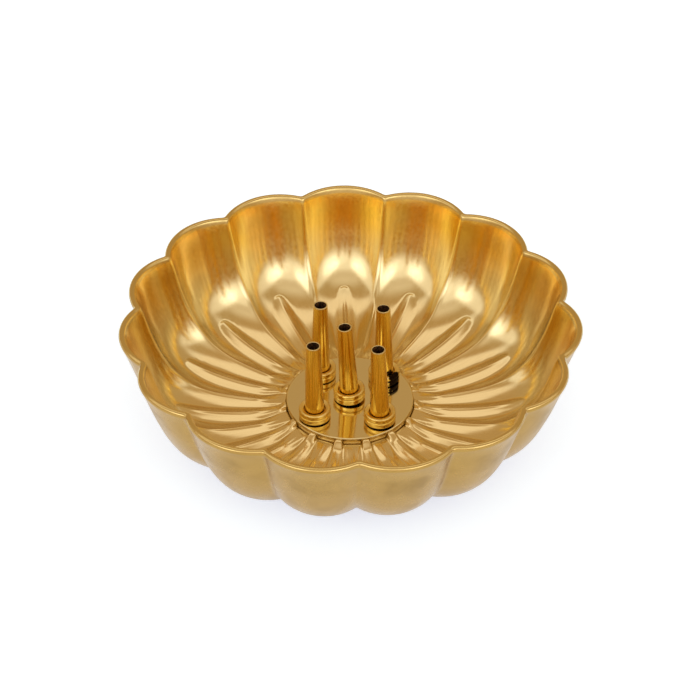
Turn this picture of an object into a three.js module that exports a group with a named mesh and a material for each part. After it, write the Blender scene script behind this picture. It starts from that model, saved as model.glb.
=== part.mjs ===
// A cast brass urli bowl of fifteen scalloped lobes, with a lift-out stand of five incense nozzles.
// Millimetres, +Z up. The origin is the centre of the foot, on the surface that the bowl stands on.

import * as THREE from 'three';
import { mergeVertices } from 'three/addons/utils/BufferGeometryUtils.js';

// Bowl. A "valley" is the line between two lobes, and a "crown" is the middle of a lobe.
const lobeCount = 15;
const bowlHeight = 41.5;
const rimValleyRadius = 71.5;
const footValleyRadius = 22.8;
const rimValleyDrop = 1.2;
const bellyPull = 43.4;
const upperWallPull = { inward: 5.6, down: 13.3 };
const wall = 2.0;
const rimLobeDepth = 0.062;
const footLobeDepth = 0.101;
const rimCrownRise = 0.5;
const valleyThickening = 1.17;
const lipThickening = 1.12;

// Flutes on the bowl's floor: a ridge on every valley and a midrib on every crown line. They end in
// a step round the stand's plate, with a seat under the plate and a round well inside the seat.
const floorLift = 1.7;
const stepLift = 1.2;
const ridgeSlope = 0.28;
const midribSlope = 0.3;
const midribEndLift = 1.7;
const midribEndLength = 3.4;
const midribHeadRadius = 58.5;
const midribTaperLength = 30.0;
const plateSurround = 13.0;
const seatHeight = 4.4;
const wellRadius = 20.0;

// Stand: a round plate, and on it one nozzle at the centre and four on a square.
const fitGap = 0.3;
const plateRadius = 21.5;
const plateThickness = 3.0;
const plateTop = 7.7;
const plateBevel = 0.4;
const nozzleCircle = 15.4;
const holderLeans = { centre: 3.6, back_right: 1.4, back_left: 0, front_left: 1.0, front_right: 2.0 };
const standTurn = THREE.MathUtils.degToRad(-6.3);

const collarRadius = 5.3;
const collarHeight = 3.8;
const collarChamfer = 0.45;
const collarRecessDepth = 1.3;

const nozzleTop = 37.9;
const nozzleBaseRadius = 3.25;
const nozzleTipRadius = 2.36;
const nozzleBoreRadius = 1.96;
const nozzleBoreDepth = 23.0;
const tailRadius = 2.0;
const tailEnd = 2.45;

const nutAcrossFlats = 7.0;
const nutHeight = 1.55;

// Fineness of the round shapes.
const segmentsPerLobe = 8;
const wallSteps = 14;
const crowding = 1.3;
const lipSteps = 4;
const roundSegments = 20;
const plateSegments = 16;

const plateMiddle = plateTop - plateThickness / 2;
const seatRadius = plateRadius + fitGap;
const lobeHalfAngle = Math.PI / lobeCount;

const finishes = {
  bowl: { color: 0xd8b062, roughness: 0.2 },
  plate: { color: 0xc9a765, roughness: 0.12 },
  nozzle: { color: 0xc08a26, roughness: 0.25 },
  collar: { color: 0xc99a3c, roughness: 0.3 },
  nut: { color: 0xb08a45, roughness: 0.4 },
};

function solid(name, geometry, finish) {
  const material = new THREE.MeshStandardMaterial({ metalness: 1, ...finishes[finish] });
  const mesh = new THREE.Mesh(geometry, material);
  mesh.name = name;
  return mesh;
}

// Only shared corners are kept, so that each shape is one closed skin.
function closedSkin(geometry) {
  geometry.deleteAttribute('normal');
  geometry.deleteAttribute('uv');
  const skin = mergeVertices(geometry, 1e-4);
  skin.computeVertexNormals();
  return skin;
}

// A turned shape about Z from an outline of [radius, height] pairs.
function turned(outline, segments = roundSegments) {
  const points = outline.map(([radius, height]) => new THREE.Vector2(radius, height));
  const geometry = new THREE.LatheGeometry(points, segments);
  geometry.rotateX(Math.PI / 2);
  return closedSkin(geometry);
}

// Bowl ------------------------------------------------------------------------------------------

const valleyLine = new THREE.CubicBezierCurve(
  new THREE.Vector2(footValleyRadius, 0),
  new THREE.Vector2(footValleyRadius + bellyPull, 0),
  new THREE.Vector2(
    rimValleyRadius - upperWallPull.inward,
    bowlHeight - rimValleyDrop - upperWallPull.down,
  ),
  new THREE.Vector2(rimValleyRadius, bowlHeight - rimValleyDrop),
);

// The lobe's plan outline is an arc from valley to valley. The result is the outline's distance
// from the bowl's axis, where 1 is the valley's, at an angle from the lobe's middle.
function lobeReach(angle, depth) {
  const halfChord = Math.sin(lobeHalfAngle);
  const rise = 1 + depth - Math.cos(lobeHalfAngle);
  const arcRadius = (halfChord ** 2 + rise ** 2) / (2 * rise);
  const arcCentre = 1 + depth - arcRadius;
  const across = arcCentre * Math.sin(angle);
  return arcCentre * Math.cos(angle) + Math.sqrt(arcRadius ** 2 - across ** 2);
}

function lobeDepth(t) {
  return THREE.MathUtils.lerp(footLobeDepth, rimLobeDepth, THREE.MathUtils.smoothstep(t, 0.2, 0.7));
}

// 1 before the start, 0 after the end.
function fall(value, start, end) {
  return 1 - THREE.MathUtils.smoothstep(value, start, end);
}

function ridge(angle, radius, nearPlate) {
  const spacing = radius * lobeHalfAngle / 2;
  const fromValley = radius * (lobeHalfAngle - Math.abs(angle));
  const groove = spacing + 0.9 * nearPlate;
  const flank = THREE.MathUtils.lerp(spacing, 0.8, nearPlate);
  const height = ridgeSlope * spacing * fall(radius, 34, 54);
  return height * THREE.MathUtils.clamp((groove - fromValley) / flank, 0, 1);
}

// The midrib starts at a pointed head. Its steep end at the plate has a flat top.
function midrib(angle, radius, nearPlate) {
  const spacing = radius * lobeHalfAngle / 2;
  const fromHead = (midribHeadRadius - radius) / midribTaperLength;
  const reach = spacing * THREE.MathUtils.clamp(fromHead, 0, 1) ** 0.3;
  const end = midribEndLift * fall(radius, seatRadius, seatRadius + midribEndLength);
  const halfWidth = Math.max(reach - 0.65 * nearPlate, 0.01);
  const x = Math.min(radius * Math.abs(angle) / halfWidth, 1);
  return (midribSlope * reach + end) * (1 - x ** (1 + 5 * nearPlate));
}

function floorHeight(angle, radius) {
  const nearPlate = fall(radius, seatRadius, seatRadius + plateSurround);
  const step = stepLift * fall(radius, seatRadius, seatRadius + 0.7 * plateSurround);
  const plain = floorLift * fall(radius, wellRadius, 3 * wellRadius) + step;
  return plain + ridge(angle, radius, nearPlate) + midrib(angle, radius, nearPlate);
}

// How far up the crown of a lobe stands above its valleys, near the rim only.
function crownLift(t, angle) {
  return rimCrownRise * t ** 4 * (1 - (angle / lobeHalfAngle) ** 2);
}

function outerWall(t, angle) {
  const valley = valleyLine.getPoint(t);
  const radius = valley.x * lobeReach(angle, lobeDepth(t));
  return new THREE.Vector2(radius, valley.y + crownLift(t, angle));
}

function innerWall(t, angle) {
  const valley = valleyLine.getPoint(t);
  const along = valleyLine.getTangent(t);
  const thickness = wall * THREE.MathUtils.lerp(1, lipThickening, THREE.MathUtils.smoothstep(t, 0.8, 1));
  const crestRadius = valley.x - along.y * thickness * valleyThickening;
  const crownRadius = valley.x * (1 + lobeDepth(t)) - along.y * thickness;
  const radius = crestRadius * lobeReach(angle, crownRadius / crestRadius - 1);
  const height = valley.y + along.x * thickness + floorHeight(angle, radius) + crownLift(t, angle);
  return new THREE.Vector2(radius, height);
}

// The rounded lip joins the two walls by a half circle.
function lip(turn, angle) {
  const outer = outerWall(1, angle);
  const inner = innerWall(1, angle);
  const centre = outer.clone().add(inner).multiplyScalar(0.5);
  const half = outer.clone().sub(inner).multiplyScalar(0.5);
  const upward = new THREE.Vector2(-half.y, half.x);
  return centre.addScaledVector(half, Math.cos(turn)).addScaledVector(upward, Math.sin(turn));
}

// The stations crowd together towards the foot.
function wallStation(step) {
  return (step / wallSteps) ** crowding;
}

// Every station is a ring round the bowl, from the middle of the foot out, up, over and back.
function bowlStations() {
  const stepEdge = seatRadius + 0.1;
  const stations = [() => new THREE.Vector2(0, 0)];
  for (let i = 0; i <= wallSteps; i++) stations.push((angle) => outerWall(wallStation(i), angle));
  for (let i = 1; i < lipSteps; i++) stations.push((angle) => lip(Math.PI * i / lipSteps, angle));
  for (let i = wallSteps; i >= 0; i--) stations.push((angle) => innerWall(wallStation(i), angle));
  stations.push((angle) => new THREE.Vector2(stepEdge, wall + floorHeight(angle, stepEdge)));
  stations.push(() => new THREE.Vector2(seatRadius, seatHeight));
  stations.push(() => new THREE.Vector2(wellRadius, seatHeight));
  stations.push(() => new THREE.Vector2(wellRadius - fitGap, wall));
  stations.push(() => new THREE.Vector2(0, wall));
  return stations;
}

// The lathe gives the rings, and each of its points then moves to the lobed outline. A valley
// faces -Y.
function bowlGeometry() {
  const stations = bowlStations();
  const segments = lobeCount * segmentsPerLobe;
  const rings = stations.map((station) => station(0));
  const geometry = new THREE.LatheGeometry(rings, segments);
  const position = geometry.attributes.position;
  for (let step = 0; step <= segments; step++) {
    const inLobe = (step % segmentsPerLobe) / segmentsPerLobe;
    const angle = (inLobe * 2 - 1) * lobeHalfAngle;
    const around = 2 * Math.PI * (step % segments) / segments;
    stations.forEach((station, ring) => {
      const { x: radius, y: height } = station(angle);
      const index = step * stations.length + ring;
      position.setXYZ(index, radius * Math.sin(around), height, radius * Math.cos(around));
    });
  }
  geometry.rotateX(Math.PI / 2);
  return closedSkin(geometry);
}

// Stand -----------------------------------------------------------------------------------------

const nozzlePlaces = [
  { place: 'centre', x: 0, y: 0, facing: 0 },
  ...['back_right', 'back_left', 'front_left', 'front_right'].map((place, quarter) => {
    const facing = standTurn + Math.PI / 4 + quarter * Math.PI / 2;
    return { place, x: nozzleCircle * Math.cos(facing), y: nozzleCircle * Math.sin(facing), facing };
  }),
];

function roundHole(x, y, radius) {
  return new THREE.Path().absarc(x, y, radius, 0, 2 * Math.PI, true);
}

function plateGeometry() {
  const outline = new THREE.Shape().absarc(0, 0, plateRadius, 0, 2 * Math.PI, false);
  for (const { x, y } of nozzlePlaces) outline.holes.push(roundHole(x, y, tailRadius + fitGap));
  const geometry = new THREE.ExtrudeGeometry(outline, {
    depth: plateThickness - 2 * plateBevel,
    bevelThickness: plateBevel,
    bevelSize: plateBevel,
    bevelOffset: -plateBevel,
    bevelSegments: 1,
    curveSegments: plateSegments,
  });
  geometry.translate(0, 0, plateTop - plateThickness + plateBevel);
  return closedSkin(geometry);
}

// A turned ring that stands on the plate. The nozzle's shoulder sits in its recess.
function collarGeometry() {
  const top = collarHeight;
  const recess = nozzleBaseRadius + fitGap;
  const hole = tailRadius + fitGap;
  return turned([
    [hole, 0],
    [collarRadius - collarChamfer, 0],
    [collarRadius, collarChamfer],
    [collarRadius, top - collarChamfer],
    [collarRadius - collarChamfer, top],
    [recess, top - collarChamfer],
    [recess, top - collarRecessDepth],
    [hole, top - collarRecessDepth],
    [hole, 0],
  ]);
}

// A tapered nozzle with a blind bore for an incense stick, and a tail that goes through the
// collar and the plate. Heights are from the bottom of the collar.
function nozzleGeometry(tail, tip) {
  const shoulder = collarHeight - collarRecessDepth + fitGap;
  const edge = (nozzleTipRadius - nozzleBoreRadius) / 2;
  return turned([
    [0, -tail],
    [tailRadius, -tail],
    [tailRadius, shoulder],
    [nozzleBaseRadius, shoulder],
    [nozzleTipRadius, tip - edge],
    [nozzleBoreRadius + edge, tip],
    [nozzleBoreRadius, tip - edge],
    [nozzleBoreRadius, tip - nozzleBoreDepth],
    [0, tip - nozzleBoreDepth - edge],
  ]);
}

// A thin hexagon nut with one flat turned to the outside, so that it clears the well.
function nutGeometry() {
  const cornerRadius = nutAcrossFlats / Math.sqrt(3);
  const corners = [];
  for (let i = 0; i < 6; i++) {
    const turn = Math.PI / 6 + i * Math.PI / 3;
    corners.push(new THREE.Vector2(cornerRadius * Math.cos(turn), cornerRadius * Math.sin(turn)));
  }
  const outline = new THREE.Shape(corners);
  outline.holes.push(roundHole(0, 0, tailRadius + fitGap));
  const geometry = new THREE.ExtrudeGeometry(outline, {
    depth: nutHeight,
    bevelEnabled: false,
    curveSegments: roundSegments / 2,
  });
  return closedSkin(geometry);
}

// A nozzle with its collar and nut. It leans a little to -X about the plate's mid-height, and the
// collar and nut stand off the plate by as much as the lean needs.
function holder({ place, x, y, facing }) {
  const lean = THREE.MathUtils.degToRad(holderLeans[place]);
  const collarBottom = plateThickness / 2 + fitGap + collarRadius * Math.sin(lean);
  const nutTop = -plateThickness / 2 - fitGap - nutAcrossFlats / Math.sqrt(3) * Math.sin(lean);
  const leaning = new THREE.Group();
  leaning.position.set(x, y, plateMiddle);
  leaning.rotation.y = -lean;

  const tail = collarBottom + plateMiddle - tailEnd;
  const tip = nozzleTop - plateMiddle - collarBottom;
  const nozzle = solid(`nozzle_${place}`, nozzleGeometry(tail, tip), 'nozzle');
  nozzle.position.z = collarBottom;

  const collar = solid(`collar_${place}`, collarGeometry(), 'collar');
  collar.position.z = collarBottom;

  const nut = solid(`lock_nut_${place}`, nutGeometry(), 'nut');
  nut.position.z = nutTop - nutHeight;
  nut.rotation.z = facing;
  return leaning.add(nozzle, collar, nut);
}

const urli = new THREE.Group();
urli.add(solid('bowl', bowlGeometry(), 'bowl'));
urli.add(solid('stand_plate', plateGeometry(), 'plate'));
for (const place of nozzlePlaces) urli.add(holder(place));

export default urli;
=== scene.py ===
import math

import bpy
import numpy as np
from mathutils import Matrix, Vector


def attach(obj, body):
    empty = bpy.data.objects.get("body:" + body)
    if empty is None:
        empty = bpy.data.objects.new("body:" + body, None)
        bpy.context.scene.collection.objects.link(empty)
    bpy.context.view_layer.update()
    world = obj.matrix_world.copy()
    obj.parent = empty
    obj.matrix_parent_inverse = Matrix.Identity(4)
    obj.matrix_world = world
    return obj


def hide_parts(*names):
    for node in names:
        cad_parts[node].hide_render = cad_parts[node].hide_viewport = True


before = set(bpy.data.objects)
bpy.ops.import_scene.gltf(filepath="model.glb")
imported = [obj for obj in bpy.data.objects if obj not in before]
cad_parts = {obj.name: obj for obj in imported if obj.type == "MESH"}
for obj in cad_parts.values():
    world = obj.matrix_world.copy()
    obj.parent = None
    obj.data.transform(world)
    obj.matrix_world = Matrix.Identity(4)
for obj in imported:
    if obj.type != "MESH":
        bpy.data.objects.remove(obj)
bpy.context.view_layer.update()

MM = 0.001

# Bowl, in millimetres. A "valley" is the line between two lobes, a "crown" the middle of a lobe.
# Starts and lengths along the wall go from 0 at the foot to 1 at the rim.
LOBES = 15
HALF_LOBE = math.pi / LOBES
WALL = 2.0
BOWL_HEIGHT = 41.5
RIM_VALLEY_RADIUS = 71.5
RIM_VALLEY_DROP = 1.2
FOOT_VALLEY_RADIUS = 22.8
BELLY_PULL = 43.4
UPPER_WALL_PULL = (5.6, 13.3)
RIM_LOBE_DEPTH = 0.062
FOOT_LOBE_DEPTH = 0.101
LOBE_CHANGE_START, LOBE_CHANGE_LENGTH = 0.2, 0.5
VALLEY_BLEND, FLOOR_VALLEY_BLEND = 1.2, 2.0
RIM_CROWN_RISE = 0.5
VALLEY_THICKENING = 1.17
LIP_THICKENING, LIP_START = 0.12, 0.8
RIM_HEIGHT = BOWL_HEIGHT - RIM_VALLEY_DROP
VALLEY_LINE = np.array([
    (FOOT_VALLEY_RADIUS, 0.0),
    (FOOT_VALLEY_RADIUS + BELLY_PULL, 0.0),
    (RIM_VALLEY_RADIUS - UPPER_WALL_PULL[0], RIM_HEIGHT - UPPER_WALL_PULL[1]),
    (RIM_VALLEY_RADIUS, RIM_HEIGHT),
])

# Flutes on the bowl's floor, and the step, seat and well that hold the stand. Near the plate, a
# ridge widens to a flat top and a midrib gets narrower and squarer.
FLOOR_LIFT = 1.7
STEP_LIFT = 1.2
PLATE_SURROUND = 13.0
STEP_LENGTH = 0.7 * PLATE_SURROUND
RIDGE_SLOPE = 0.28
RIDGE_FADE = (34, 54)
RIDGE_END_WIDENING = 0.9
RIDGE_END_FLANK = 0.8
MIDRIB_SLOPE = 0.345
MIDRIB_HEAD_RADIUS = 58.5
MIDRIB_HEAD_BLUNTNESS = 0.3
MIDRIB_TAPER_LENGTH = 30.0
MIDRIB_ROUNDING = 0.5
MIDRIB_END_ROUNDING = 5
MIDRIB_END_LIFT = 1.7
MIDRIB_END_LENGTH = 3.4
MIDRIB_END_NARROWING = 0.65
THINNEST = 0.01
BEAD_HEIGHT, BEAD_HALF_WIDTH = 0.3, 0.8
BEAD_FADE = (46, MIDRIB_HEAD_RADIUS)
SEAT_HEIGHT = 4.4
WELL_RADIUS = 20.0

# Stand. The collar has a groove round it, given by the heights of its four edges.
FIT_GAP = 0.3
STEP_GAP = 0.15
PLATE_RADIUS = 21.5
PLATE_THICKNESS = 3.0
PLATE_TOP = 7.7
PLATE_BEVEL = 0.4
NOZZLE_CIRCLE = 15.4
STAND_TURN = math.radians(-6.3)
CORNERS = ["back_right", "back_left", "front_left", "front_right"]
LEANS = {"centre": 3.6, "back_right": 1.4, "back_left": 0, "front_left": 1.0, "front_right": 2.0}
COLLAR_RADIUS = 5.3
COLLAR_HEIGHT = 3.8
COLLAR_RECESS_DEPTH = 1.3
COLLAR_FOOT_CHAMFER = 0.1
COLLAR_CHAMFER = (0.45, 0.5)
COLLAR_DISH = 0.45
COLLAR_GROOVE, COLLAR_GROOVE_DEPTH = (1.5, 1.75, 1.95, 2.2), 0.3
COLLAR_ROUNDING, NOZZLE_ROUNDING = 0.25, 0.18
NOZZLE_TOP = 37.9
NOZZLE_BASE_RADIUS = 3.25
NOZZLE_TIP_RADIUS = 2.36
BORE_RADIUS = 1.96
BORE_DEPTH = 23.0
BORE_END_CONE = 0.2
TAIL_RADIUS = 2.0
TAIL_END = 2.45
SEAT_RADIUS = PLATE_RADIUS + FIT_GAP
PLATE_MIDDLE = PLATE_TOP - PLATE_THICKNESS / 2

# The way a black patch faces, on the collars that have one.
BLACK_PATCHES = {"back_right": (0.67, -0.74, 0)}

# Fineness of the meshes. A lobe's segments are crowded towards its crown and its valleys.
SEGMENTS_PER_LOBE = 40
CROWDING = 0.6
WALL_STEPS = 110
STEP_EDGE_STEPS = 7
LIP_STEPS = 10
SATIN_LIP_STEPS = LIP_STEPS // 4
ROUND_SEGMENTS = 72
PLATE_SEGMENTS = 160
CORNER_STEPS = 4
LARGEST_CUT = 0.3
CORNER_MARGIN = 1.4

# Brass colours, seen straight on. WORN is where polishing has rubbed an edge pale.
POLISHED = (0.70, 0.60, 0.36, 1)
FLOOR_TONE = (0.71, 0.57, 0.31, 1)
WALL_TONE = (0.71, 0.61, 0.36, 1)
# The next two are painted reflection tones for the upper inner walls: browner on the crowns and a brighter
# gold by the valleys.
HIGH_CROWN_PAINTED_TONE = (0.79, 0.475, 0.075, 1)
HIGH_VALLEY_PAINTED_TONE = (0.84, 0.585, 0.10, 1)
LIP_TONE = (0.62, 0.48, 0.21, 1)
SATIN = (0.47, 0.285, 0.08, 1)
SATIN_DARK = (0.31, 0.18, 0.045, 1)
NOZZLE_BRASS = (0.84, 0.58, 0.10, 1)
COLLAR_BRASS = (0.80, 0.60, 0.18, 1)
NOZZLE_DARK = (0.54, 0.29, 0.035, 1)
WORN = (0.66, 0.54, 0.30, 1)
NEAR_BLACK = (0.018, 0.009, 0.005, 1)
DARK_BROWN = (0.11, 0.045, 0.015, 1)

# Heights in metres between which the bowl's brass changes: inside, from the floor to the wall,
# from the wall to its upper part with painted reflection tones, and to the lip; outside, a band of
# painted dark reflection and painted shade at the foot.
FLOOR_TO_WALL = (0.007, 0.011)
WALL_TO_UPPER = (0.018, 0.034)
UPPER_TO_LIP = (0.0400, 0.0408)
# Painted dark reflection: a band high on the outside, over each crown.
DARK_REFLECTION_FROM, DARK_REFLECTION_TO = (0.024, 0.030), (0.038, 0.034)
# Painted shade: the outside grows darker down to the foot.
FOOT_PAINTED_SHADE = (0.016, 0.0)

# Heights of the worn edges of a collar and a nozzle, as parts of their own height.
COLLAR_WORN = (0.84, 0.93)
TIP_WORN = (0.985, 0.994)

# Studio light: an even warm room with soft white panels, each as azimuth from -Y, elevation, half
# width, half height (degrees) and strength.
SKY = (0.62, 0.42, 0.20)
PANEL_COLOUR = (1.0, 1.04, 1.06)
PANELS = [
    (0, 30, 105, 44, 0.28),
    (0, 26, 66, 17, 0.42),
    (54, 28, 48, 15, 0.54),
    (-60, 30, 50, 16, 0.62),
    (38, 30, 24, 10, 0.54),
    (-40, 32, 24, 10, 0.50),
    (12, 22, 22, 9, 0.25),
    (0, 64, 34, 14, 0.08),
    (180, 77, 80, 14, 0.60),
]

# Floor of the studio, in metres, a hair under the foot.
FLOOR_SIZE, FLOOR_HEIGHT = 6.0, -0.0002
FLOOR_COLOUR = (0.68, 0.92, 0.98, 1)
FLOOR_GLOW = (0.51, 0.51, 0.66, 1)

# Camera, about the middle of the rim: azimuth from -Y, elevation and roll (degrees), and metres.
CAMERA_TURN = (-2.45, 38.226, 0.59)
CAMERA_DISTANCE = 0.7179
CAMERA_LENS, CAMERA_SENSOR = 112.53, 36
CAMERA_SHIFT = (-0.001, -0.0452)


# Shapes ----------------------------------------------------------------------------------------

def smooth_step(x):
    """0 up to 0, 1 from 1 on, and a smooth change between."""
    x = np.clip(x, 0.0, 1.0)
    return x * x * (3.0 - 2.0 * x)


def fall(value, start, end):
    """1 before the start, 0 after the end."""
    return 1 - smooth_step((value - start) / (end - start))


def valley_point(t):
    """Radius and height on the curve that every valley follows, at t from the foot to the rim."""
    weights = np.stack([(1 - t) ** 3, 3 * (1 - t) ** 2 * t, 3 * (1 - t) * t ** 2, t ** 3], -1)
    return weights @ VALLEY_LINE


def valley_tangent(t):
    """The curve's direction at t, with length 1."""
    steps = np.diff(VALLEY_LINE, axis=0)
    weights = np.stack([(1 - t) ** 2, 2 * (1 - t) * t, t ** 2], -1)
    along = weights @ steps
    return along / np.linalg.norm(along, axis=-1, keepdims=True)


def lobe_depth(t):
    """How far a crown stands out past the valleys, as a part of their radius."""
    change = smooth_step((t - LOBE_CHANGE_START) / LOBE_CHANGE_LENGTH)
    return FOOT_LOBE_DEPTH + (RIM_LOBE_DEPTH - FOOT_LOBE_DEPTH) * change


def lobe_reach(angle, depth):
    """How far a lobe's arc is from the axis, where its valley is at 1, at an angle from its crown."""
    rise = 1 + depth - math.cos(HALF_LOBE)
    arc_radius = (math.sin(HALF_LOBE) ** 2 + rise ** 2) / (2 * rise)
    centre = 1 + depth - arc_radius
    inside = np.maximum(arc_radius ** 2 - (centre * np.sin(angle)) ** 2, 0.0)
    return centre * np.cos(angle) + np.sqrt(inside)


def lobed_radius(valley, depth, angle, blend):
    """Two neighbouring lobes' arcs, blended where they meet at the valley."""
    own = valley * lobe_reach(np.abs(angle), depth)
    neighbour = valley * lobe_reach(2 * HALF_LOBE - np.abs(angle), depth)
    near = np.maximum(blend - np.abs(own - neighbour), 0.0) / blend
    return np.maximum(own, neighbour) + near ** 2 * blend / 4


def ridge(angle, radius, near_plate):
    """The ridge on each valley, which widens to a flat top at the plate."""
    spacing = radius * HALF_LOBE / 2
    from_valley = radius * (HALF_LOBE - np.abs(angle))
    groove = spacing + RIDGE_END_WIDENING * near_plate
    flank = spacing + (RIDGE_END_FLANK - spacing) * near_plate
    height = RIDGE_SLOPE * spacing * fall(radius, *RIDGE_FADE)
    return height * np.clip((groove - from_valley) / flank, 0, 1)


def midrib(angle, radius, near_plate):
    """The rib on each crown line: a pointed head, then a steep rounded end at the plate."""
    spacing = radius * HALF_LOBE / 2
    from_head = MIDRIB_HEAD_RADIUS - radius
    taper = np.clip(from_head / MIDRIB_TAPER_LENGTH, 0, 1) ** MIDRIB_HEAD_BLUNTNESS
    end = MIDRIB_END_LIFT * fall(radius, SEAT_RADIUS, SEAT_RADIUS + MIDRIB_END_LENGTH)
    half_width = np.maximum(spacing * taper - MIDRIB_END_NARROWING * near_plate, THINNEST)
    x = np.minimum(radius * np.abs(angle) / half_width, 1)
    rounding = MIDRIB_ROUNDING * fall(from_head, 0, MIDRIB_TAPER_LENGTH) + MIDRIB_END_ROUNDING * near_plate
    return (MIDRIB_SLOPE * spacing * taper + end) * (1 - x ** (1 + rounding))


def bead(angle, radius, near_plate):
    """The thin raised line along the top of every ridge and midrib."""
    from_crown = radius * np.abs(angle)
    from_valley = radius * (HALF_LOBE - np.abs(angle))
    height = BEAD_HEIGHT * fall(radius, *BEAD_FADE) * (1 - near_plate)
    return height * (fall(from_crown, 0, BEAD_HALF_WIDTH) + fall(from_valley, 0, BEAD_HALF_WIDTH))


def floor_height(angle, radius):
    """How far the flutes and the step stand above a plain floor."""
    near_plate = fall(radius, SEAT_RADIUS, SEAT_RADIUS + PLATE_SURROUND)
    step = STEP_LIFT * fall(radius, SEAT_RADIUS, SEAT_RADIUS + STEP_LENGTH)
    plain = FLOOR_LIFT * fall(radius, WELL_RADIUS, 3 * WELL_RADIUS) + step
    ribs = ridge(angle, radius, near_plate) + midrib(angle, radius, near_plate)
    return plain + ribs + bead(angle, radius, near_plate)


def crown_lift(t, angle):
    """The rim rises a little from the valleys to the crowns."""
    return RIM_CROWN_RISE * t ** 4 * (1 - (angle / HALF_LOBE) ** 2)


def outer_wall(t, angle):
    """Radius and height on the outside."""
    valley = valley_point(t)
    radius = lobed_radius(valley[..., 0], lobe_depth(t), angle, VALLEY_BLEND)
    return radius, valley[..., 1] + crown_lift(t, angle)


def inner_wall(t, angle):
    """Radius and height on the inside, a wall's thickness away and with the flutes on the floor."""
    valley, along = valley_point(t), valley_tangent(t)
    wall = WALL * (1 + LIP_THICKENING * smooth_step((t - LIP_START) / (1 - LIP_START)))
    crest = valley[..., 0] - along[..., 1] * wall * VALLEY_THICKENING
    crown = valley[..., 0] * (1 + lobe_depth(t)) - along[..., 1] * wall
    radius = lobed_radius(crest, crown / crest - 1, angle, VALLEY_BLEND + FLOOR_VALLEY_BLEND * (1 - t))
    plain = valley[..., 1] + along[..., 0] * wall
    return radius, plain + floor_height(angle, radius) + crown_lift(t, angle)


def lip(turn, angle):
    """The rounded lip joins the two walls by a half circle."""
    one = np.ones_like(angle)
    outer, inner = np.array(outer_wall(one, angle)), np.array(inner_wall(one, angle))
    centre, half = (outer + inner) / 2, (outer - inner) / 2
    upward = np.array([-half[1], half[0]])
    return centre + half * math.cos(turn) + upward * math.sin(turn)


def bowl_rings(angle):
    """Radius and height of each ring of the bowl's skin, from the foot's middle out, up, over and
    back, and how many of them are outside the lip."""
    one = np.ones_like(angle)
    rings = [(0 * one, 0 * one), (0.6 * FOOT_VALLEY_RADIUS * one, 0 * one)]
    rings += [outer_wall(t * one, angle) for t in np.linspace(0, 1, WALL_STEPS + 1)]
    outside = len(rings)
    rings += [lip(turn, angle) for turn in np.linspace(0, math.pi, LIP_STEPS + 1)[1:-1]]
    rings += [inner_wall(t * one, angle) for t in np.linspace(1, 0, WALL_STEPS + 1)]
    start = rings[-1][0]
    for step in np.linspace(0, 1, STEP_EDGE_STEPS + 1)[1:]:
        radius = start + (PLATE_RADIUS + STEP_GAP - start) * step
        rings.append((radius, WALL + floor_height(angle, radius)))
    for radius, height in ((SEAT_RADIUS, SEAT_HEIGHT), (WELL_RADIUS, SEAT_HEIGHT),
                           (WELL_RADIUS - FIT_GAP, WALL), (0.5 * WELL_RADIUS, WALL), (0, WALL)):
        rings.append((radius * one, height * one))
    return np.array(rings), outside


def skin(name, radius, height, around, looped=False):
    """A closed skin from rings round Z, which starts and ends on the axis or loops to its first ring."""
    rings, count = radius.shape
    points, ring_points = [], []
    for r, z in zip(radius, height):
        first = len(points)
        if r.max() == 0:
            points.append((0, 0, z[0]))
            ring_points.append([first] * (count + 1))
        else:
            points += list(zip(r * np.cos(around), r * np.sin(around), z))
            ring_points.append(list(range(first, first + count)) + [first])
    faces = []
    for ring in range(rings if looped else rings - 1):
        low, high = ring_points[ring], ring_points[(ring + 1) % rings]
        for k in range(count):
            faces.append(list(dict.fromkeys((low[k], low[k + 1], high[k + 1], high[k]))))
    mesh = bpy.data.meshes.new(name)
    mesh.from_pydata([Vector(p) * MM for p in points], [], faces)
    mesh.shade_smooth()
    return mesh


def use_second_material(mesh, count, ring_gaps):
    """Gives the faces between some rings the mesh's second material. Each gap has count faces."""
    numbers = np.zeros(len(mesh.polygons), dtype=int)
    numbers[[gap * count + k for gap in ring_gaps for k in range(count)]] = 1
    mesh.polygons.foreach_set("material_index", numbers)


def bowl_mesh():
    """The bowl: fifteen lobes, polished inside and over most of the lip, and satin outside."""
    count = LOBES * SEGMENTS_PER_LOBE
    steps = np.arange(count)
    in_lobe = (steps % SEGMENTS_PER_LOBE) / SEGMENTS_PER_LOBE * 2 - 1
    crowded = in_lobe - CROWDING * np.sin(2 * math.pi * in_lobe) / (2 * math.pi)
    angle = crowded * HALF_LOBE
    crown = (steps // SEGMENTS_PER_LOBE) * 2 * HALF_LOBE + HALF_LOBE - math.pi / 2
    rings, outside = bowl_rings(angle)
    mesh = skin("bowl_shell", rings[:, 0], rings[:, 1], crown + angle)
    mesh.materials.append(polished_brass())
    mesh.materials.append(satin_brass())
    use_second_material(mesh, count, range(outside + SATIN_LIP_STEPS))
    return mesh


def rounded(outline, cut):
    """An outline of (radius, height) corners with each corner off the axis cut back and rounded."""
    points = np.array(outline, dtype=float)
    result = []
    for k, corner in enumerate(points):
        if corner[0] == 0:
            result.append(corner)
            continue
        arms = [points[k - 1] - corner, points[(k + 1) % len(points)] - corner]
        lengths = [np.linalg.norm(arm) for arm in arms]
        parts = [min(cut, LARGEST_CUT * length) / length for length in lengths]
        before, after = arms[0] * parts[0], arms[1] * parts[1]
        result.append(corner + before * CORNER_MARGIN)
        for s in np.linspace(0, 1, CORNER_STEPS + 1):
            result.append(corner + before * (1 - s) ** 2 + after * s ** 2)
        result.append(corner + after * CORNER_MARGIN)
    return np.array(result)


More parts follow.
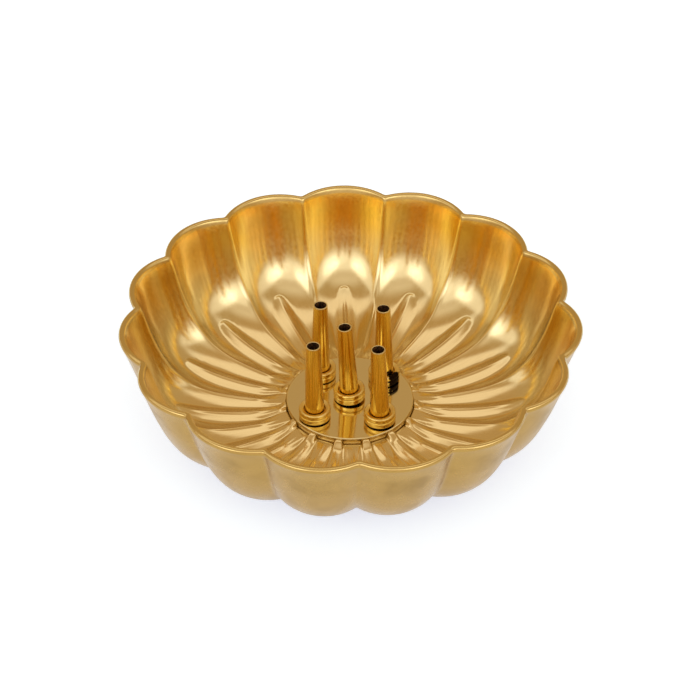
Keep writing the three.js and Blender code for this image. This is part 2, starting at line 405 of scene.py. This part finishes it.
def turned(name, outline, looped=False):
    """A round skin from an outline of (radius, height)."""
    around = np.linspace(0, 2 * math.pi, ROUND_SEGMENTS + 1)[:-1]
    one = np.ones(ROUND_SEGMENTS)
    return skin(name, outline[:, :1] * one, outline[:, 1:] * one, around, looped)


def collar_mesh(name):
    """A ring with a groove round it, a dished top and a recess for the nozzle's shoulder."""
    side, top, chamfer = COLLAR_RADIUS, COLLAR_HEIGHT, COLLAR_CHAMFER
    groove, floor = COLLAR_GROOVE, COLLAR_RADIUS - COLLAR_GROOVE_DEPTH
    hole, recess = TAIL_RADIUS + FIT_GAP, NOZZLE_BASE_RADIUS + FIT_GAP
    outline = [
        (hole, 0), (side - COLLAR_FOOT_CHAMFER, 0), (side, COLLAR_FOOT_CHAMFER),
        (side, groove[0]), (floor, groove[1]), (floor, groove[2]), (side, groove[3]),
        (side, top - chamfer[1]), (side - chamfer[0], top), (recess, top - COLLAR_DISH),
        (recess, top - COLLAR_RECESS_DEPTH), (hole, top - COLLAR_RECESS_DEPTH),
    ]
    return turned(name, rounded(outline, COLLAR_ROUNDING), looped=True)


def nozzle_mesh(name, tail, tip):
    """A tapered tube with a tail and a near-black bore. Heights are from its collar's underside."""
    shoulder = COLLAR_HEIGHT - COLLAR_RECESS_DEPTH + FIT_GAP
    body = rounded([
        (0, -tail), (TAIL_RADIUS, -tail), (TAIL_RADIUS, shoulder), (NOZZLE_BASE_RADIUS, shoulder),
        (NOZZLE_TIP_RADIUS, tip), (BORE_RADIUS, tip), (BORE_RADIUS, tip - BORE_DEPTH),
        (0, tip - BORE_DEPTH - BORE_END_CONE),
    ], NOZZLE_ROUNDING)
    mesh = turned(name, body)
    bore = [k for k in range(len(body) - 1) if body[k + 1, 0] <= BORE_RADIUS and k > len(body) // 2]
    mesh.materials.append(nozzle_brass())
    mesh.materials.append(dark_bore())
    use_second_material(mesh, ROUND_SEGMENTS, bore)
    return mesh


def holder_places():
    """Where each holder's axis crosses the plate's mid-height."""
    places = {"centre": Vector((0, 0, PLATE_MIDDLE))}
    for quarter, corner in enumerate(CORNERS):
        facing = STAND_TURN + math.pi / 4 + quarter * math.pi / 2
        x, y = NOZZLE_CIRCLE * math.cos(facing), NOZZLE_CIRCLE * math.sin(facing)
        places[corner] = Vector((x, y, PLATE_MIDDLE))
    return places


def plate_mesh():
    """The round plate with a hole for each tail, from flat outlines with a bevelled edge."""
    curve = bpy.data.curves.new("plate_outline", "CURVE")
    curve.dimensions, curve.fill_mode = "2D", "BOTH"
    curve.extrude = (PLATE_THICKNESS / 2 - PLATE_BEVEL) * MM
    curve.bevel_depth, curve.bevel_resolution = PLATE_BEVEL * MM, 3
    curve.offset = -PLATE_BEVEL * MM
    circles = [(Vector((0, 0, 0)), PLATE_RADIUS)]
    circles += [(place, TAIL_RADIUS + FIT_GAP) for place in holder_places().values()]
    for centre, radius in circles:
        spline = curve.splines.new("POLY")
        spline.points.add(PLATE_SEGMENTS - 1)
        spline.use_cyclic_u = True
        for k, point in enumerate(spline.points):
            turn = 2 * math.pi * k / PLATE_SEGMENTS
            x, y = centre.x + radius * math.cos(turn), centre.y + radius * math.sin(turn)
            point.co = (x * MM, y * MM, 0, 1)
    outline = bpy.data.objects.new("plate_outline", curve)
    mesh = bpy.data.meshes.new_from_object(outline)
    bpy.data.objects.remove(outline)
    mesh.name = "plate_disc"
    mesh.transform(Matrix.Translation((0, 0, PLATE_MIDDLE * MM)))
    mesh.materials.clear()
    mesh.materials.append(plate_brass())
    for face in mesh.polygons:
        face.use_smooth = abs(face.normal.z) < 0.999
    return mesh


# Materials -------------------------------------------------------------------------------------

def add_node(tree, kind, inputs=(), **settings):
    """A shader node, whose inputs are numbers or other nodes' outputs, by name or place."""
    node = tree.nodes.new("ShaderNode" + kind)
    for name, value in settings.items():
        setattr(node, name, value)
    for key, value in dict(inputs).items():
        if isinstance(value, bpy.types.NodeSocket):
            tree.links.new(value, node.inputs[key])
        else:
            node.inputs[key].default_value = value
    return node


def maths(tree, operation, *values):
    return add_node(tree, "Math", dict(enumerate(values)), operation=operation).outputs[0]


def vector_maths(tree, operation, *values):
    return add_node(tree, "VectorMath", dict(enumerate(values)), operation=operation).outputs[0]


def spread(tree, value, start, end, low=0.0, high=1.0):
    """Low at the start, high at the end, and a smooth change between."""
    inputs = {"Value": value, "From Min": start, "From Max": end, "To Min": low, "To Max": high}
    return add_node(tree, "MapRange", inputs, interpolation_type="SMOOTHSTEP").outputs["Result"]


def blend(tree, factor, a, b):
    return add_node(tree, "Mix", {0: factor, 6: a, 7: b}, data_type="RGBA").outputs[2]


def noise(tree, vector, scale, detail=2.0, distortion=0.0):
    inputs = {"Vector": vector, "Scale": scale, "Detail": detail, "Distortion": distortion}
    return add_node(tree, "TexNoise", inputs).outputs["Fac"]


def metal(name):
    """A brass material, with its node tree and shader."""
    material = bpy.data.materials.new(name)
    material.use_nodes = True
    shader = material.node_tree.nodes["Principled BSDF"]
    shader.inputs["Metallic"].default_value = 1.0
    return material, material.node_tree, shader.inputs


def object_place(tree):
    return add_node(tree, "TexCoord").outputs["Object"]


def lengthwise(tree, coordinates, centre, slowness):
    """Coordinates that change quickly round an upright axis and slowly along it."""
    centred = vector_maths(tree, "SUBTRACT", coordinates, centre)
    round_axis = vector_maths(tree, "NORMALIZE", vector_maths(tree, "MULTIPLY", centred, (1, 1, 0)))
    upward = vector_maths(tree, "MULTIPLY", centred, (0, 0, slowness))
    return vector_maths(tree, "ADD", round_axis, upward)


def bump(tree, inputs, height, depth, below=None):
    """Raises the surface by a pattern that is depth millimetres deep."""
    values = {"Height": height, "Distance": depth * MM, "Strength": 1.0}
    if below:
        values["Normal"] = below
    normal = add_node(tree, "Bump", values).outputs["Normal"]
    tree.links.new(normal, inputs["Normal"])
    return normal


def height_of(tree, coordinates):
    return add_node(tree, "SeparateXYZ", {0: coordinates}).outputs[2]


def nearness_to_crown(tree, place):
    """0 on the valleys and 1 over the middle of each lobe."""
    parts = add_node(tree, "SeparateXYZ", {0: place}).outputs
    turn = maths(tree, "MULTIPLY", maths(tree, "ARCTAN2", parts[0], parts[1]), LOBES)
    return spread(tree, maths(tree, "COSINE", turn), -0.2, 0.6)


def polished_brass():
    """Cast and buffed: fine upright streaks and soft waves. High on the walls, painted reflection tones:
    browner on the crowns, a brighter gold by the valleys.
    """
    material, tree, shader = metal("bowl_polished")
    place = object_place(tree)
    height = height_of(tree, place)
    streaks = noise(tree, lengthwise(tree, place, (0, 0, 0), 12), 70, 4)
    high = spread(tree, height, *WALL_TO_UPPER)
    patches = spread(tree, noise(tree, place, 45, 3, 0.6), 0.25, 0.75, 0.55, 1.0)
    low_tone = blend(tree, spread(tree, height, *FLOOR_TO_WALL), FLOOR_TONE, WALL_TONE)
    # Painted reflection tones high on the walls: browner on the crowns, brighter gold by the valleys.
    painted_high_tone = blend(tree, nearness_to_crown(tree, place), HIGH_VALLEY_PAINTED_TONE, HIGH_CROWN_PAINTED_TONE)
    tone = blend(tree, maths(tree, "MULTIPLY", high, patches), low_tone, painted_high_tone)
    colour = blend(tree, spread(tree, height, *UPPER_TO_LIP), tone, LIP_TONE)
    tree.links.new(colour, shader["Base Color"])
    rough = spread(tree, streaks, 0.3, 0.7, 0.14, 0.21)
    tree.links.new(maths(tree, "MULTIPLY_ADD", high, 0.02, rough), shader["Roughness"])
    soft = bump(tree, shader, noise(tree, place, 80, 1), 0.05)
    grainy = maths(tree, "MULTIPLY_ADD", noise(tree, place, 1100, 2), 0.1, streaks)
    bump(tree, shader, maths(tree, "MULTIPLY", grainy, high), 0.03, soft)
    return material


def satin_brass():
    """The cast outside, rubbed to a satin and mottled, with painted shade darker towards the foot and a
    painted dark reflection high on each crown.
    """
    material, tree, shader = metal("bowl_satin")
    place = object_place(tree)
    mottle = noise(tree, place, 130, 5, 0.4)
    height = height_of(tree, place)
    upper = maths(tree, "MULTIPLY", *(spread(tree, height, *edge) for edge in (DARK_REFLECTION_FROM, DARK_REFLECTION_TO)))
    patch = maths(tree, "MULTIPLY", upper, nearness_to_crown(tree, place))
    # Painted dark reflection of the shaded ground beside the bowl, over each crown.
    painted_dark_reflection = maths(tree, "MULTIPLY", patch, spread(tree, mottle, 0.2, 0.7, 0.1, 0.45))
    # Painted shade, darker down to the foot.
    low = spread(tree, height, *FOOT_PAINTED_SHADE, 0.0, 0.8)
    painted_shade_reflection_and_mottle = maths(tree, "ADD", maths(tree, "ADD", low, painted_dark_reflection), spread(tree, mottle, 0.45, 0.8, 0.0, 0.3))
    tree.links.new(blend(tree, painted_shade_reflection_and_mottle, SATIN, SATIN_DARK), shader["Base Color"])
    tree.links.new(spread(tree, mottle, 0.3, 0.7, 0.24, 0.34), shader["Roughness"])
    soft = bump(tree, shader, noise(tree, place, 60, 2), 0.10)
    bump(tree, shader, noise(tree, place, 900, 2), 0.004, soft)
    return material


def plate_brass():
    """A mirror polish with soft waves, uneven roughness and a few pits."""
    material, tree, shader = metal("plate_mirror")
    place = object_place(tree)
    pits = add_node(tree, "TexVoronoi", {"Vector": place, "Scale": 170.0}).outputs["Distance"]
    pit = spread(tree, pits, 0.07, 0.04)
    tree.links.new(blend(tree, pit, POLISHED, NOZZLE_DARK), shader["Base Color"])
    tree.links.new(spread(tree, noise(tree, place, 300, 4), 0.35, 0.7, 0.06, 0.13), shader["Roughness"])
    soft = bump(tree, shader, noise(tree, place, 160, 1), 0.02)
    bump(tree, shader, maths(tree, "MULTIPLY", pit, -1.0), 0.05, soft)
    return material


def nozzle_brass():
    """Drawn tube, darker than the bowl, with streaks along it and a pale worn tip."""
    material, tree, shader = metal("nozzle_drawn")
    place = add_node(tree, "TexCoord").outputs["Generated"]
    streaks = noise(tree, lengthwise(tree, place, (0.5, 0.5, 0), 0.35), 7, 4)
    colour = blend(tree, spread(tree, streaks, 0.45, 0.75), NOZZLE_BRASS, NOZZLE_DARK)
    tip = spread(tree, height_of(tree, place), *TIP_WORN)
    tree.links.new(blend(tree, tip, colour, WORN), shader["Base Color"])
    rough = spread(tree, streaks, 0.3, 0.7, 0.14, 0.3)
    tree.links.new(maths(tree, "MULTIPLY_ADD", tip, 0.2, rough), shader["Roughness"])
    bump(tree, shader, streaks, 0.03)
    return material


def dark_bore():
    """Dull near-black with brown specks."""
    material, tree, shader = metal("nozzle_bore")
    shader["Metallic"].default_value = 0.0
    shader["Roughness"].default_value = 0.8
    shader["Specular IOR Level"].default_value = 0.1
    speckle = noise(tree, object_place(tree), 1500, 3)
    tree.links.new(blend(tree, spread(tree, speckle, 0.4, 0.7), NEAR_BLACK, DARK_BROWN), shader["Base Color"])
    return material


def collar_brass(patch_facing=None):
    """Turned rings with a pale worn top edge, and on one of them a black patch on one side."""
    material, tree, shader = metal("collar_turned")
    place = add_node(tree, "TexCoord").outputs["Generated"]
    rings = noise(tree, lengthwise(tree, place, (0.5, 0.5, 0), 6), 2.2, 3)
    colour = blend(tree, spread(tree, rings, 0.4, 0.7), COLLAR_BRASS, NOZZLE_BRASS)
    worn = spread(tree, height_of(tree, place), *COLLAR_WORN)
    colour = blend(tree, maths(tree, "MULTIPLY", worn, 0.45), colour, WORN)
    rough = maths(tree, "MULTIPLY_ADD", worn, 0.2, spread(tree, rings, 0.3, 0.7, 0.12, 0.24))
    if patch_facing:
        facing = lengthwise(tree, place, (0.5, 0.5, 0), 0)
        dot = add_node(tree, "VectorMath", {0: facing, 1: patch_facing}, operation="DOT_PRODUCT")
        ragged = maths(tree, "MULTIPLY_ADD", noise(tree, place, 6, 3), 0.25, dot.outputs["Value"])
        black_patch = spread(tree, ragged, 0.99, 1.05)
        colour = blend(tree, black_patch, colour, NEAR_BLACK)
        rough = maths(tree, "MULTIPLY_ADD", black_patch, 0.4, rough)
    tree.links.new(colour, shader["Base Color"])
    tree.links.new(rough, shader["Roughness"])
    bump(tree, shader, rings, 0.03)
    return material


def nut_brass():
    """Turned and left unpolished."""
    material, tree, shader = metal("nut_turned")
    place = object_place(tree)
    marks = noise(tree, place, 700, 3)
    tree.links.new(blend(tree, spread(tree, marks, 0.4, 0.7), SATIN, SATIN_DARK), shader["Base Color"])
    tree.links.new(spread(tree, marks, 0.3, 0.7, 0.25, 0.45), shader["Roughness"])
    return material


# Studio ----------------------------------------------------------------------------------------

def add_object(name, mesh):
    obj = bpy.data.objects.new(name, mesh)
    bpy.context.scene.collection.objects.link(obj)
    return obj


def make_camera():
    azimuth, elevation, roll = (math.radians(turn) for turn in CAMERA_TURN)
    back = Vector((math.sin(azimuth) * math.cos(elevation), -math.cos(azimuth) * math.cos(elevation),
                   math.sin(elevation)))
    right = Vector((math.cos(azimuth), math.sin(azimuth), 0))
    up = back.cross(right)
    turned_right = math.cos(roll) * right + math.sin(roll) * up
    turned_up = math.cos(roll) * up - math.sin(roll) * right
    data = bpy.data.cameras.new("camera")
    data.lens, data.sensor_width = CAMERA_LENS, CAMERA_SENSOR
    data.shift_x, data.shift_y = CAMERA_SHIFT
    data.clip_start, data.clip_end = 0.01, 50
    camera = add_object("camera", data)
    rotation = Matrix((turned_right, turned_up, back)).transposed().to_4x4()
    place = Vector((0, 0, BOWL_HEIGHT * MM)) + back * CAMERA_DISTANCE
    camera.matrix_world = Matrix.Translation(place) @ rotation
    bpy.context.scene.camera = camera


def make_floor():
    sides = ((-1, -1), (1, -1), (1, 1), (-1, 1))
    corners = [(x * FLOOR_SIZE, y * FLOOR_SIZE, FLOOR_HEIGHT) for x, y in sides]
    mesh = bpy.data.meshes.new("floor")
    mesh.from_pydata(corners, [], [(0, 1, 2, 3)])
    material = bpy.data.materials.new("floor_white")
    material.use_nodes = True
    shader = material.node_tree.nodes["Principled BSDF"].inputs
    shader["Base Color"].default_value = FLOOR_COLOUR
    shader["Roughness"].default_value = 0.9
    shader["Emission Color"].default_value = FLOOR_GLOW
    shader["Emission Strength"].default_value = 1.0
    mesh.materials.append(material)
    add_object("floor", mesh)


def soft_panel(tree, direction, azimuth, elevation, half_width, half_height):
    """1 inside a soft-edged oval panel of light at an azimuth from -Y, and 0 outside it."""
    turn = (-math.radians(elevation), 0, math.radians(azimuth))
    turned_in = add_node(tree, "VectorRotate", {"Vector": direction, "Rotation": turn},
                         rotation_type="EULER_XYZ", invert=True)
    parts = add_node(tree, "SeparateXYZ", {0: turned_in.outputs[0]})
    across = maths(tree, "DIVIDE", parts.outputs[0], math.sin(math.radians(half_width)))
    upward = maths(tree, "DIVIDE", parts.outputs[2], math.sin(math.radians(half_height)))
    far = maths(tree, "MULTIPLY_ADD", across, across, maths(tree, "MULTIPLY", upward, upward))
    in_front = spread(tree, parts.outputs[1], 0.0, -0.15)
    return maths(tree, "MULTIPLY", spread(tree, far, 1.0, 0.4), in_front)


def make_world():
    world = bpy.data.worlds.new("studio")
    world.use_nodes = True
    tree = world.node_tree
    direction = add_node(tree, "TexCoord").outputs["Generated"]
    total = 0.0
    for azimuth, elevation, half_width, half_height, strength in PANELS:
        panel = soft_panel(tree, direction, azimuth, elevation, half_width, half_height)
        total = maths(tree, "MULTIPLY_ADD", panel, strength, total)
    background = tree.nodes["Background"].inputs
    panels = add_node(tree, "VectorMath", {0: PANEL_COLOUR, "Scale": total}, operation="SCALE")
    tree.links.new(vector_maths(tree, "ADD", panels.outputs[0], SKY), background["Color"])
    bpy.context.scene.world = world


# Assembly --------------------------------------------------------------------------------------

def place_piece(name, mesh, body, node):
    """A finished piece that stands for a CAD node and moves with its body."""
    obj = add_object(name, mesh)
    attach(obj, body)
    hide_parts(node)


def place_holder(corner, place):
    """A nozzle in its collar, leaning a little to -X about the plate's mid-height."""
    lean = math.radians(LEANS[corner])
    bottom = PLATE_THICKNESS / 2 + FIT_GAP + COLLAR_RADIUS * math.sin(lean)
    upright = Matrix.Translation(place * MM) @ Matrix.Rotation(-lean, 4, "Y")
    stand_up = upright @ Matrix.Translation((0, 0, bottom * MM))

    tail, tip = bottom + PLATE_MIDDLE - TAIL_END, NOZZLE_TOP - PLATE_MIDDLE - bottom
    nozzle = nozzle_mesh(f"nozzle_tube_{corner}", tail, tip)
    nozzle.transform(stand_up)
    place_piece(nozzle.name, nozzle, "stand", f"nozzle_{corner}")

    collar = collar_mesh(f"collar_ring_{corner}")
    collar.transform(stand_up)
    collar.materials.append(collar_brass(BLACK_PATCHES.get(corner)))
    place_piece(collar.name, collar, "stand", f"collar_{corner}")

    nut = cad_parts[f"lock_nut_{corner}"].data
    nut.materials.clear()
    nut.materials.append(nut_brass())


make_camera()
make_floor()
make_world()
place_piece("bowl_shell", bowl_mesh(), "bowl", "bowl")
place_piece("plate_disc", plate_mesh(), "stand", "stand_plate")
for corner, place in holder_places().items():
    place_holder(corner, place)

bpy.context.scene.view_settings.view_transform = "Standard"
